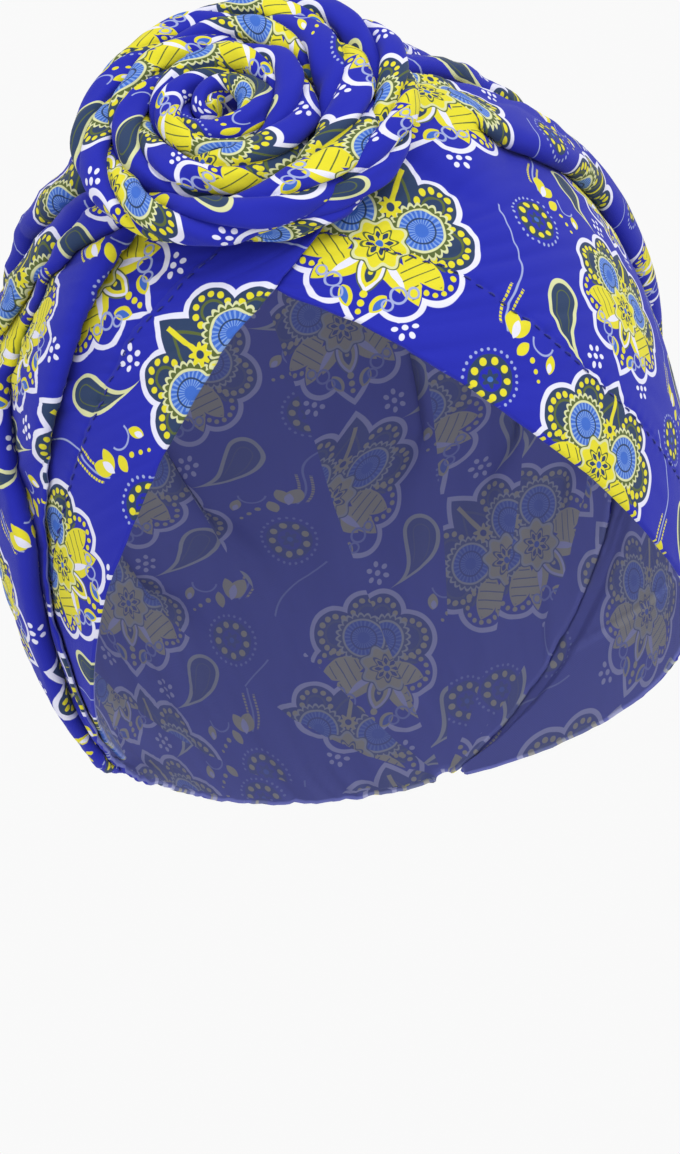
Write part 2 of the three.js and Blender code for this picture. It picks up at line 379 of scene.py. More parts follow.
# Half-drop repeat: each column of motifs stands half a repeat higher than the last.
def halfDropGroup():
    tree, source, result = newGroup(
        "half drop", [(n, "Float") for n in ("x", "y", "motif x", "motif y")], [("x", "Float"), ("y", "Float")])
    x, y, px, py = (Number(tree, source.outputs[k]) for k in range(4))
    dx, dy = x - px, y - py
    column = (dx * (1 / repeat["width"])).node("ROUND")
    odd = column.node("FLOORED_MODULO", 2.0)
    dropped = dy + odd * (repeat["height"] / 2)
    row = (dropped * (1 / repeat["height"])).node("ROUND")
    tree.links.new((dx - column * repeat["width"]).socket, result.inputs[0])
    tree.links.new((dropped - row * repeat["height"]).socket, result.inputs[1])
    return tree


halfDrop = halfDropGroup()


def motif(tree, x, y, px, py):
    node = tree.nodes.new("ShaderNodeGroup")
    node.node_tree = halfDrop
    tree.links.new(x.socket, node.inputs[0])
    tree.links.new(y.socket, node.inputs[1])
    node.inputs[2].default_value = px
    node.inputs[3].default_value = py
    return Number(tree, node.outputs[0]), Number(tree, node.outputs[1])


# Layers of (where it is inked, colour); the last one lies on top.
def layered(tree, below, layers):
    for mask, colour in layers:
        node = tree.nodes.new("ShaderNodeMix")
        node.data_type = "RGBA"
        tree.links.new(mask.socket, node.inputs["Factor"])
        colours = [socket for socket in node.inputs if socket.type == "RGBA"]
        if isinstance(below, tuple):
            colours[0].default_value = below
        else:
            tree.links.new(below, colours[0])
        colours[1].default_value = dyes[colour]
        below = next(socket for socket in node.outputs if socket.type == "RGBA")
    return below


def medallionLayers(x, y):
    side = x.size()
    lobes = ((9.5, 13, 7.2), (15.5, 4, 8.3), (14.5, -6, 7.5), (8.5, -13.5, 6.5))
    body = distance(side, y, -21.1, 0.0) - 32.1
    for lobe in lobes:
        body = body.atMost(disc(side, y, *lobe))
    field = (body + 1.4).atLeast(-y - 3.5)
    belt = (body + 4.9) * -1.0
    dots = dotRing(side, y, 15.5, 4, 5.1, 14, 0.85).atMost(dotRing(side, y, 9.5, 13, 4.2, 11, 0.8))
    dots = dots.atMost(dotRing(side, y, 14.5, -6, 4.6, 13, 0.7)).atLeast(belt)
    fan = distance(side, y, 8.6, 5.4)
    fanAngle = (y - 5.4).node("ARCTAN2", side - 8.6)
    ribs = (fanAngle * 26.0).sine() * 0.5
    scallop = (fanAngle * 12.0).sine().size() * 0.9
    upper = -y - 4.0
    leafy = petal(side, y, 11.6, -5.2, 62, 13.5, 6.6).atMost(petal(side, y, 9.2, -9.6, 40, 12.5, 5.2))
    veins = (((side - 4) * 0.9 - y * 0.9).sine().size() - 0.2) * 1.2
    lotus = petal(x, y, 0, -8.8, 0, 12.5, 6.2)
    lotusSide = petal(side, y, 4.4, -8.2, 38, 12.0, 4.6)
    return [
        ((body + 0.0).ink(), "white"), ((body + 1.4).ink(), "ground"), (field.ink(), "slate"),
        ((body + 4.6).size().atLeast(field).node("ADD", -0.35).ink(), "olive"),
        (dots.atLeast(-y - 12.0).ink(), "yellow"),
        ((fan - scallop - 7.0).atLeast(upper).ink(), "cream"), ((fan - scallop - 6.3).atLeast(upper).ink(), "olive"),
        ((fan - 6.0).atLeast(upper).ink(), "cream"), ((fan - 5.4).atLeast(upper).ink(), "sky"),
        ((ribs + 0.12).atLeast(fan - 5.4).atLeast(-fan + 1.7).atLeast(upper).ink(), "pale"),
        (((fan - 3.5).size() - 0.22).atLeast(upper).ink(), "slate"),
        (leafy.ink(), "yellow"), (veins.atLeast(leafy + 0.5).ink(), "olive"),
        (((x.size() - 0.62).atLeast((y - 14.5).size() - 5.0)).ink(), "yellow"),
        (flower(x, y, 0, 8.8, 2.3, 0.55, 8).ink(), "yellow"), (disc(x, y, 0, 8.8, 0.95).ink(), "slate"),
        (lotusSide.ink(), "yellow"), (petal(side, y, 5.6, -8.4, 44, 10.0, 1.9).ink(), "white"),
        ((lotus - 0.4).ink(), "olive"), (lotus.ink(), "white"), ((lotus + 0.75).ink(), "yellow"),
        (petal(x, y, 0, -9.6, 0, 6.0, 2.6).ink(), "slate"), (disc(x, y, 0, -9.6, 0.6).ink(), "yellow"),
        (flower(x, y, 0, -1.5, 7.1, 0.75, 8).ink(), "olive"), (flower(x, y, 0, -1.5, 6.7, 0.75, 8).ink(), "cream"),
        (flower(x, y, 0, -1.5, 5.9, 0.75, 8).ink(), "yellow"), (flower(x, y, 0, -1.5, 3.9, 0.9, 8, 3.14).ink(), "olive"),
        (flower(x, y, 0, -1.5, 3.3, 0.8, 8, 3.14).ink(), "yellow"),
        (flower(x, y, 0, -1.5, 2.7, 0.7, 8, 3.14).ink(), "slate"),
        (flower(x, y, 0, -1.5, 1.9, 0.75, 8).ink(), "yellow"), (disc(x, y, 0, -1.5, 0.9).ink(), "sky"),
        (petal(side, y, 4.0, -17.0, -28, 5.6, 3.4).ink(), "yellow"),
        (petal(side, y, 4.3, -17.0, -28, 4.4, 1.9).ink(), "sky"),
        (ring(side, y, 8.0, -13.6, 1.9, 0.3).ink(), "lilac"), (ring(side, y, 11.2, -11.8, 1.2, 0.26).ink(), "lilac"),
        (ring(side, y, 6.2, -16.6, 1.3, 0.26).ink(), "lilac"),
        (disc(x, y, 0, -15.6, 0.95).ink(), "yellow"), (disc(x, y, 0, -17.9, 0.85).ink(), "yellow"),
        (disc(x, y, 0, -20.0, 0.7).ink(), "yellow"),
    ]


def rosetteLayers(x, y):
    return [
        (dotRing(x, y, 0, 0, 7.3, 26, 0.4).ink(), "lilac"), (ring(x, y, 0, 0, 4.6, 1.45).ink(), "slate"),
        (dotRing(x, y, 0, 0, 4.6, 9, 0.95).ink(), "yellow"), (flower(x, y, 0, 0, 2.0, 0.5, 6).ink(), "slate"),
        (disc(x, y, 0, 0, 0.8).ink(), "sky"),
    ]


# The teardrop's half-width falls from its round end to the tip as a cosine; its axis bends as a square.
def teardropLayers(x, y):
    lx, ly = turned(x, y, 0.0, 0.0, 10)
    down = -ly
    along = (down * (1 / 16.0)).node("MAXIMUM", 0.0).atMost(1.0)
    width = ((along * (math.pi / 2)).node("COSINE").atLeast(0.0)).node("POWER", 1.3) * 5.2
    bent = lx - along * along * along * 10.0
    head = distance(bent, down.atMost(0.0) * 1.0)
    shape = head.atLeast((down - 16.0) + head) - width
    vein = (head - width * 0.42).size() - 0.16
    return [
        (shape.ink(), "cream"), ((shape + 1.15).ink(), "slate"), (vein.atLeast(shape + 1.8).ink(), "olive"),
    ]


def clusterLayers(x, y):
    petals = dotRing(x, y, 0, 0, 2.55, 6, 0.85, 1.25).atMost(disc(x, y, 0, 0, 0.8))
    return [(petals.ink(), "white")]


def sprigLayers(x, y):
    bend = (y * 0.19 + 0.6).sine() * 2.6 - y * 0.32
    line = (x - bend).size() - 0.28
    stem = line.atLeast((y - 3).size() - 17.0)
    beads = ((x - bend).size() - 1.6).size().atLeast((y * 3.1).sine().size() - 0.55).atLeast((y + 7).size() - 5.5)
    tulip = petal(x, y, 3.0, -11.0, 20, 7.0, 4.4).atMost(petal(x, y, 5.6, -11.6, -28, 6.6, 3.6))
    bud = petal(x, y, 7.6, -16.0, -25, 4.8, 2.8)
    budFar = petal(x, y, 16.3, -15.5, 15, 4.8, 2.8)
    chain = disc(x, y, 11.0, -17.2, 0.75).atMost(disc(x, y, 13.0, -19.2, 0.62)).atMost(disc(x, y, 14.8, -21, 0.5))
    curl = ring(x, y, 12.5, -11.5, 3.1, 0.24).atLeast(y + 11.5)
    return [
        (stem.ink(), "lilac"), (curl.ink(), "lilac"), ((beads - 0.35).ink(), "yellow"), (tulip.ink(), "yellow"),
        (petal(x, y, 4.2, -12.4, 0, 5.0, 2.2).ink(), "white"), (bud.ink(), "yellow"), (budFar.ink(), "yellow"),
        (petal(x, y, 16.3, -16.4, 15, 2.6, 1.5).ink(), "white"), (chain.ink(), "yellow"),
    ]


def printGroup():
    tree, source, result = newGroup("paisley print", [("cloth", "Vector")], [("Color", "Color")])
    split = tree.nodes.new("ShaderNodeSeparateXYZ")
    tree.links.new(source.outputs[0], split.inputs[0])
    x, y = Number(tree, split.outputs[0]) * 1000.0, Number(tree, split.outputs[1]) * 1000.0
    colour = dyes["ground"]
    for layers, px, py in (
        (rosetteLayers, -38.5, 1.5), (sprigLayers, -41.0, 28.5), (teardropLayers, -26.0, -17.0),
        (clusterLayers, -11.2, -25.5), (clusterLayers, 11.9, -20.5), (medallionLayers, 0.0, 0.0),
    ):
        colour = layered(tree, colour, layers(*motif(tree, x, y, px, py)))
    tree.links.new(colour, result.inputs[0])
    return tree


paisleyPrint = printGroup()


# ---- finishes

jersey = {"roughness": 0.86, "sheen": 0.05, "sheenRoughness": 0.5, "reverseShare": 0.66, "knit": 0.3}


# Knit: rows of small loops, 0.55 mm wide and 0.45 mm high, as a bump under everything that is printed.
def knitGroup():
    tree, source, result = newGroup("knit", [("cloth", "Vector")], [("Height", "Float")])
    split = tree.nodes.new("ShaderNodeSeparateXYZ")
    tree.links.new(source.outputs[0], split.inputs[0])
    x, y = Number(tree, split.outputs[0]) * 1000.0, Number(tree, split.outputs[1]) * 1000.0
    wale = (x * (2 * math.pi / 0.55)).sine()
    course = (y * (2 * math.pi / 0.45) + wale.size() * 1.6).sine()
    tree.links.new((wale.size() * 0.7 + course * 0.3).socket, result.inputs[0])
    return tree


knit = knitGroup()


def clothMaterial(name, reverse):
    material = bpy.data.materials.new(name)
    material.use_nodes = True
    tree = material.node_tree
    shader = tree.nodes["Principled BSDF"]
    shader.inputs["Roughness"].default_value = jersey["roughness"]
    shader.inputs["Sheen Weight"].default_value = jersey["sheen"]
    shader.inputs["Sheen Roughness"].default_value = jersey["sheenRoughness"]
    shader.inputs["Specular IOR Level"].default_value = 0.25
    where = tree.nodes.new("ShaderNodeUVMap")
    where.uv_map = "cloth"
    printed = tree.nodes.new("ShaderNodeGroup")
    printed.node_tree = paisleyPrint
    tree.links.new(where.outputs[0], printed.inputs[0])
    colour = printed.outputs[0]
    if reverse:
        fade = tree.nodes.new("ShaderNodeMix")
        fade.data_type = "RGBA"
        fade.inputs["Factor"].default_value = jersey["reverseShare"]
        sockets = [socket for socket in fade.inputs if socket.type == "RGBA"]
        tree.links.new(colour, sockets[0])
        sockets[1].default_value = (0.20, 0.22, 0.50, 1.0)
        colour = next(socket for socket in fade.outputs if socket.type == "RGBA")
    tree.links.new(colour, shader.inputs["Base Color"])
    loops = tree.nodes.new("ShaderNodeGroup")
    loops.node_tree = knit
    tree.links.new(where.outputs[0], loops.inputs[0])
    bump = tree.nodes.new("ShaderNodeBump")
    bump.inputs["Strength"].default_value = jersey["knit"]
    bump.inputs["Distance"].default_value = 0.00012
    tree.links.new(loops.outputs[0], bump.inputs["Height"])
    tree.links.new(bump.outputs[0], shader.inputs["Normal"])
    return material


def plainMaterial(name, colour, roughness):
    material = bpy.data.materials.new(name)
    material.use_nodes = True
    shader = material.node_tree.nodes["Principled BSDF"]
    shader.inputs["Base Color"].default_value = colour
    shader.inputs["Roughness"].default_value = roughness
    return material


outside = clothMaterial("printed jersey", False)
inside = clothMaterial("jersey reverse", True)
thread = plainMaterial("blue thread", (0.012, 0.018, 0.20, 1.0), 0.7)
print("materials")


# ---- pleats

# Cross-section of one rolled pleat, in mm along the head and above it. From its crease the cloth turns up
# and out in a half circle that leans over the crease by a part of its radius, then falls away from the
# crest as (cos(90 degrees x part))^sharp to the next crease. Low pleats are laid evenly instead of leaning.
def rollSection(left, right, height, baseLeft, baseRight, nextRadius, turn, columns, sharp=1.5, lean=0.4):
    radius = np.maximum(height - baseLeft, 0) / 2
    part = np.linspace(0, 1, columns, endpoint=False)[None, :]
    rows = left.shape

    def column(values):
        return np.broadcast_to(values, rows)[:, None]

    left, right, height, radius = column(left), column(right), column(height), column(radius)
    baseLeft, baseRight, nextRadius = column(baseLeft), column(baseRight), column(nextRadius)
    turned = column(turn) * smooth(radius, 0.5, 1.6)
    hairpin, arc = 0.1, 0.45
    bend = np.pi * (np.clip(part / hairpin, 0, 1) - 0.5)
    swing = np.pi * (np.clip((part - hairpin) / (arc - hairpin), 0, 1) - 0.5)
    fall = np.clip((part - arc) / (1 - arc), 0, 1)
    start = left + (1 - lean) * radius
    gap = 0.8 * turned
    low = baseLeft + 2 * gap
    arcRadius = np.maximum(height - low, 0) / 2
    end = right + (1 - lean) * nextRadius
    xRoll = np.where(part < hairpin, start + gap * np.cos(bend),
                     np.where(part < arc, start - radius * np.cos(swing), mix(start, end, fall)))
    hRoll = np.where(part < hairpin, baseLeft + gap * (1 + np.sin(bend)),
                     np.where(part < arc, low + arcRadius * (1 + np.sin(swing)),
                              baseRight + (height - baseRight) * np.cos(np.pi / 2 * fall) ** sharp))
    even = mix(left, right, part)
    leaning = smooth(radius, 0.3, 1.8)
    return mix(even, xRoll, leaning), hRoll


# Rows of the grid: closer together where the folds are.
def rowDowns(last, rows, first=6.0):
    fine = np.linspace(0, 1, 2000)
    density = 1 + 0.9 * (1 - smooth(first + fine * (last - first), 60, 110))
    walked = np.concatenate([[0], np.cumsum((density[1:] + density[:-1]) / 2)])
    return first + (last - first) * np.interp(np.linspace(0, walked[-1], rows), walked, fine)


# Pleats begin under the knot and are drawn flat towards the nape.
def pleatFade(down):
    return smooth(down, 12, 21) * (1 - smooth(down, 88, 150))


# Near the knot the left band lies over the right one.
def crossingLift(down):
    return cloth["layerStep"] * (1 - smooth(down, 29, 42))


# Each crease: its place around the head at some down angles, and how deep it cuts there (1 to the head).
# Each pleat stands between its own crease and the next.
crown = {
    "rows": 300,
    "columnsPerPleat": 18,
    "leftBandTop": -104.0,
    "leftBandEnd": 120.0,
    "rightEdge": 58.0,
    "pleats": [
        {"down": [20, 83, 90], "around": [-121, -121, -124], "cut": [1, 1, 1], "height": 4.2, "end": (48, 64)},
        {"down": [20, 22, 25, 31, 35, 44.5, 50.5, 54, 59, 62, 68],
         "around": [-116, -113, -107, -102, -99, -94, -97.5, -102, -108, -113, -119.5],
         "cut": [1, 1, 1, 1, 1, 1, 1, 1, 1, 1, 1], "height": 6.4},
        {"down": [20, 31, 45, 60], "around": [-92.5, -92.5, -90, -90], "cut": [1, 1, 0.12, 0], "height": 7.0},
        {"down": [20, 28, 33, 41, 46, 100], "around": [-73, -72, -71, -66, -62, -60], "cut": [1, 1, 1, 1, 1, 1],
         "height": 7.4},
        {"down": [20, 45, 100], "around": [-44, -40, -37], "cut": [1, 1, 1], "height": 8.0},
        {"down": [20, 45, 100], "around": [-13, -12, -12], "cut": [1, 1, 1], "height": 8.6},
        {"down": [20, 45, 100], "around": [12, 12, 12], "cut": [1, 1, 1], "height": 8.2},
        {"down": [20, 45, 100], "around": [32, 30, 31], "cut": [1, 1, 1], "height": 6.4},
    ],
    "lastCrease": {"down": [20, 45, 100], "around": [50, 50, 50]},
    "wrinkles": {"height": 0.7, "longest": 16, "shortest": 3.0, "stretch": 3.0},
    "printed": [(70, 0, -22), (66, 14, 4), (62, -20, 17), (58, 30, -9), (48, 5, 21), (0, -18, 6), (-48, 26, 14),
                (-64, -8, -16), (-64, 20, 0)],
}


def crownSection(down):
    perMm = perDegree(down)
    pleats = crown["pleats"]
    fade = pleatFade(down)
    where = [np.interp(down, p["down"], p["around"]) * perMm for p in pleats]
    rim = -rimAround(down) * perMm
    where[0] = np.maximum(where[0], rim)
    where[1] = np.maximum(where[1], where[0] + 0.8)
    last = np.interp(down, crown["lastCrease"]["down"], crown["lastCrease"]["around"]) * perMm
    where.append(last)
    heights = []
    for k, pleat in enumerate(pleats):
        width = where[k + 1] - where[k]
        end = pleat.get("end")
        own = 1 - smooth(down, *end) if end else 1.0
        heights.append(np.minimum(pleat["height"], 0.5 * width) * fade * own)
    heights.append(np.zeros_like(down))
    base = [np.zeros_like(down)]
    for k in range(1, len(pleats)):
        cut = np.interp(down, pleats[k]["down"], pleats[k]["cut"])
        base.append((1 - cut) * np.minimum(heights[k - 1], heights[k]))
    base.append(np.zeros_like(down))
    return where, heights, base


crownDown = rowDowns(178.5, crown["rows"])
where, heights, base = crownSection(crownDown)
# Pleats left of the back's middle lean left and those right of it lean right, so the right ones are built
# from their right crease. The pleat at the middle stands upright between two creases.
columns = crown["columnsPerPleat"]
xs, hs, starts, crests = [], [], [], []
for k in range(8):
    starts.append(sum(x.shape[1] for x in xs))
    if k < 5:
        nextRadius = (heights[k + 1] - base[k + 1]) / 2 if k < 4 else 0.0
        x, h = rollSection(where[k], where[k + 1], heights[k], base[k], base[k + 1], nextRadius,
                           1.0 if k else 0.0, columns)
        crests.append(starts[-1] + int(columns * 0.5))
    else:
        previousRadius = (heights[k - 1] - base[k]) / 2 if k > 5 else 0.0
        x, h = rollSection(-where[k + 1], -where[k], heights[k], base[k + 1], base[k], previousRadius,
                           1.0, columns + 1)
        x, h = -x[:, ::-1], h[:, ::-1]
        x, h = x[:, :columns], h[:, :columns]
        crests.append(starts[-1] + int(columns * 0.5))
    xs.append(x)
    hs.append(h)
margin = np.linspace(0, 1, 7)[None, :]
starts.append(sum(x.shape[1] for x in xs))
crests.append(starts[-1] + 3)
lastX = where[-1][:, None] - 0.6 * (heights[7] / 2)[:, None]
xs.append(mix(lastX, (crown["rightEdge"] * perDegree(crownDown))[:, None], margin))
hs.append(np.zeros((len(crownDown), 7)))
crownX, crownH = np.concatenate(xs, 1), np.concatenate(hs, 1)
crownAround = crownX / perDegree(crownDown)[:, None]
downGrid = crownDown[:, None] + 0 * crownX
overBand = 1 - smooth(crownAround, crown["leftBandTop"] + 3, crown["leftBandTop"] + 9)
bandThere = 1 - smooth(downGrid, crown["leftBandEnd"] + 5, crown["leftBandEnd"] + 16)
lift = (cloth["layerStep"] + crossingLift(downGrid)) * overBand * bandThere
alongMm = downGrid * head["meanRadius"] * math.pi / 180
wrinkle = crown["wrinkles"]
wrinkled = ripples(alongMm, crownX, 3, wrinkle["longest"], wrinkle["shortest"], wrinkle["height"], wrinkle["stretch"])
crownPoints = pointAt(downGrid, crownAround, cloth["firstLayer"] + lift + crownH + wrinkled * smooth(downGrid, 15, 30))
clothLeft, clothRight = clothPlaces(crownPoints, starts, crests, crown["printed"])
crownPiece = wallPiece("crown_cloth", crownPoints, cloth["wall"], clothLeft, clothRight, [outside, inside])
print("crown", len(crownPiece.data.polygons))

# ---- bands

leftBand = {
    "rows": 220, "columns": 130, "top": -104.0, "end": 120.0,
    "trim": {"down": [20, 27, 30, 36, 60, 120], "by": [2.2, 3.0, 2.6, 1.4, 0.6, 0.5]},
    "printed": {"middle": -140.0, "centre": (25.2, -60.4), "turn": 69.6},
    "wrinkles": {"height": 0.5, "longest": 18, "shortest": 4, "stretch": 3.0},
}
rightBand = {
    "rows": 290, "top": 54.0, "end": 177.0, "pleatColumns": 34, "frontColumns": 124,
    "crease": {"down": [0, 25, 35, 40, 45, 54, 65, 100, 180], "around": [96, 92, 84.5, 82, 79.5, 73, 67.5, 64, 62]},
    "pleatHeight": 7.0, "swell": 1.8, "trim": 0.6,
    "printed": {"middle": 132.0, "centre": (-9.1, -43.4), "turn": -68.5},
    "wrinkles": {"height": 0.5, "longest": 18, "shortest": 4, "stretch": 3.0},
}
hem = {"width": 27.0, "thicker": 0.35, "groove": 0.4, "pucker": 0.16, "pitch": 3.6, "stitch": 2.1, "thread": 0.26}


# Height that the hem adds: a step up where the cloth is double, a groove along the stitches, and puckers
# beside them that follow the stitches' pitch.
def hemHeight(down, fromRim):
    fromRow = hem["width"] - fromRim
    along = down * head["meanRadius"] * math.pi / 180
    step = hem["thicker"] * (smooth(fromRow, -0.9, 1.1) - 1)
    groove = -hem["groove"] * np.exp(-((fromRow / 1.0) ** 2))
    pucker = hem["pucker"] * np.sin(2 * math.pi * along / hem["pitch"]) * np.exp(-((fromRow / 3.5) ** 2))
    return (step + groove + pucker) * smooth(down, 14, 22)


def bandWrinkles(band, down, x, seed):
    along = down * head["meanRadius"] * math.pi / 180
    w = band["wrinkles"]
    waves = ripples(along, x, seed, w["longest"], w["shortest"], w["height"], w["stretch"])
    return waves * smooth(down, 14, 28) * mix(1.0, 0.45, smooth(down, 35, 75))


# The left band is flat on the head, and lies over the right one up to the point of the V.
down = rowDowns(leftBand["end"], leftBand["rows"])
perMm = perDegree(down)[:, None]
leftRim = (np.interp(down, leftBand["trim"]["down"], leftBand["trim"]["by"]) - rimAround(down))[:, None]
around = mix(leftBand["top"], leftRim, np.linspace(0, 1, leftBand["columns"])[None, :])
downGrid = down[:, None] + 0 * around
height = cloth["firstLayer"] + crossingLift(downGrid) + hemHeight(downGrid, (around - leftRim) * perMm)
height = height + bandWrinkles(leftBand, downGrid, around * perMm, 21)
leftPoints = pointAt(downGrid, around, height)
leftFace = (down, around, height)
clothLeft, clothRight = unrolled(downGrid, around, leftBand["printed"])
leftPiece = wallPiece("left_band_cloth", leftPoints, cloth["wall"], clothLeft, clothRight, [outside, inside])
print("left band", len(leftPiece.data.polygons))

# The right band has a rolled pleat along its top, leaning towards the side, and is slightly swollen below it.
down = rowDowns(rightBand["end"], rightBand["rows"])
perMm = perDegree(down)
top = rightBand["top"] * perMm
crease = np.interp(down, rightBand["crease"]["down"], rightBand["crease"]["around"]) * perMm
rim = (rimAround(down) - rightBand["trim"]) * perMm
pleatHeight = rightBand["pleatHeight"] * pleatFade(down)
creaseCut = smooth(down, 29, 37)
creaseBase = (1 - creaseCut) * pleatHeight * 0.75
pleatX, pleatH = rollSection(-crease, -top, pleatHeight, creaseBase, np.zeros_like(down), 0.0, 1.0,
                             rightBand["pleatColumns"] + 1, sharp=0.8)
pleatX, pleatH = -pleatX[:, ::-1], pleatH[:, ::-1]
frontPart = np.linspace(0, 1, rightBand["frontColumns"])[None, :]
frontX = mix(pleatX[:, -1:], rim[:, None], frontPart)
swell = rightBand["swell"] * np.sin(np.pi * frontPart) ** 0.8 * pleatFade(down)[:, None]
frontH = swell * creaseCut[:, None] + pleatH[:, -1:] * (1 - smooth(frontPart, 0, 0.6))
bandX = np.concatenate([pleatX[:, :-1], frontX], 1)
bandH = np.concatenate([pleatH[:, :-1], frontH], 1)
around = bandX / perMm[:, None]
downGrid = down[:, None] + 0 * around
overCrown = cloth["layerStep"] * (1 - smooth(around, crown["rightEdge"] + 4, crown["rightEdge"] + 10))
# a shallow slanting crease in the front, where the cloth is pulled towards the knot
dent = -1.5 * np.exp(-(((around - np.interp(downGrid, [18, 26, 33], [110, 115, 113])) * perMm[:, None] / 3.2) ** 2))
dent = dent * smooth(downGrid, 15, 21) * (1 - smooth(downGrid, 27, 36))
height = cloth["firstLayer"] + overCrown + bandH + dent + hemHeight(downGrid, rim[:, None] - bandX)
height = height + bandWrinkles(rightBand, downGrid, bandX, 33)
rightPoints = pointAt(downGrid, around, height)
steps = np.hypot(np.diff(bandX, axis=1), np.diff(bandH, axis=1))
clothX = rim[:, None] - np.concatenate([np.cumsum(steps[:, ::-1], axis=1)[:, ::-1], np.zeros((len(down), 1))], 1)
clothLeft, clothRight = unrolled(downGrid, clothX / perMm[:, None], rightBand["printed"])
rightPiece = wallPiece("right_band_cloth", rightPoints, cloth["wall"], clothLeft, clothRight, [outside, inside])
print("right band", len(rightPiece.data.polygons))


# One row of stitches along a hem: bars of six sides that dip into the cloth at both ends.
def stitchRow(name, face, last, side):
    fine = np.linspace(20, last, 4000)
    turnHere = side * (rimAround(fine) - hem["width"] / perDegree(fine))
    path = pointAt(fine, turnHere, 0.0)
    run = np.concatenate([[0], np.cumsum(np.linalg.norm(np.diff(path, axis=0), axis=1))])
    count = int(run[-1] / hem["pitch"])
    middle = (np.arange(count) + 0.5) * hem["pitch"]
    share = np.linspace(-0.5, 0.5, 7)
    at = middle[:, None] + share[None, :] * hem["stitch"]
    downAt = np.interp(at, run, fine)
    turnAt = np.interp(at, run, turnHere)
    lifted = stitchHeight(face, downAt, turnAt)
    bow = 0.34 - 1.6 * share[None, :] ** 2
    line = pointAt(downAt, turnAt, lifted + bow)
    tangent = np.gradient(line, axis=1)
    tangent /= np.linalg.norm(tangent, axis=2, keepdims=True)
    out = line - headCentre
    across = np.cross(tangent, out)
    across /= np.linalg.norm(across, axis=2, keepdims=True)
    out = np.cross(across, tangent)
    sides = np.arange(6) * math.pi / 3
    thick = hem["thread"] * np.array([0.45, 0.85, 1, 1, 1, 0.85, 0.45])[None, :, None, None]
    ringPart = np.cos(sides)[None, None, :, None] * across[:, :, None, :] + np.sin(sides)[None, None, :, None] * out[:, :, None, :]
    vertices = line[:, :, None, :] + ringPart * thick
    one = np.arange(42).reshape(7, 6)
    nextSide = np.roll(one, -1, axis=1)
    walls = np.stack([one[:-1], one[1:], nextSide[1:], nextSide[:-1]], -1).reshape(-1, 4)
    ends = [[0, 1, 2, 3], [0, 3, 4, 5], [39, 38, 37, 36], [36, 41, 40, 39]]
    bar = np.concatenate([walls, ends])
    faces = (bar[None] + 42 * np.arange(count)[:, None, None]).reshape(-1, 4)
    return makeMesh(name, vertices.reshape(-1, 3), faces, None, None, [thread])


# Height of a band's outer face above the head at given angles, from the nearest point of its grid.
def stitchHeight(face, down, around):
    downs, arounds, heights = face
    row = np.clip(np.searchsorted(downs, down), 0, len(downs) - 1)
    share = np.argmin(np.abs(arounds[row] - around[..., None]), axis=-1)
    return heights[row, share] + cloth["wall"] / 2


leftStitches = stitchRow("left_hem_stitches", leftFace, 84.0, -1)
rightStitches = stitchRow("right_hem_stitches", (down, around, height), 150.0, 1)
print("stitches", len(leftStitches.data.polygons) + len(rightStitches.data.polygons))

# ---- the knot

knot = {
    "centre": [-4.0, -76.5, -15.5], "tilt": 42.0, "domeRadius": 120.0, "endAround": 140.0,
    "turn": [-0.12, -0.04, 0.05, 0.14, 0.28, 0.39, 0.64, 0.89, 1.14, 1.39, 1.64, 1.89, 2.14, 2.39, 2.64, 2.89, 3.14, 3.39, 3.64, 3.8],
    "radius": [32, 37, 42.5, 45.4, 37.6, 34.2, 33.6, 35, 31, 26.2, 24.4, 21.6, 17, 16, 13.5, 10.5, 8, 6.5, 4.5, 3],
    "halfWidth": [3.2, 4.6, 5.8, 6.4, 6.2, 6.1, 6, 6.6, 8, 5.7, 5.9, 6.4, 6.1, 5.6, 5.4, 4.9, 4.6, 4.2, 3.6, 3],
    "rise": 6.0, "depthFront": 5.2, "depthBack": 11.5,
    "strands": 3, "strandDepth": 0.38, "twistLength": 70.0, "steps": 640, "sides": 84, "strandShift": (23.0, 31.0),
}
tip = math.radians(knot["tilt"])
knotUp = np.array([0.0, -math.cos(tip), math.sin(tip)])
knotBack = np.array([0.0, math.sin(tip), math.cos(tip)])


# Values between a table's rows, rounded over by a moving average so that the rope has no corners.
def smoothTable(at, xs, ys, width):
    shifts = np.linspace(-width, width, 9)
    return np.mean([np.interp(at + s, xs, ys) for s in shifts], axis=0)


turn = np.linspace(-0.12, 3.8, knot["steps"])
radius = smoothTable(turn, knot["turn"], knot["radius"], 0.12)
halfWidth = smoothTable(turn, knot["turn"], knot["halfWidth"], 0.12)
around = np.radians(knot["endAround"] - 360 * turn)
outward = np.cos(around)[:, None] * knotBack + np.sin(around)[:, None] * sideways
ropeLine = np.array(knot["centre"]) + outward * radius[:, None]
sunk = 6.5 * (1 - smooth(turn, -0.1, 0.12))
ropeLine = ropeLine + knotUp * ((42.5 ** 2 - radius ** 2) / (2 * knot["domeRadius"]) - sunk)[:, None]
walked = np.concatenate([[0], np.cumsum(np.linalg.norm(np.diff(ropeLine, axis=0), axis=1))])
towardsBack = (np.cos(around) * radius / 42.5 + 1) / 2
depth = mix(knot["depthFront"], knot["depthBack"], smooth(towardsBack, 0.1, 0.9)) - 0.6 * sunk
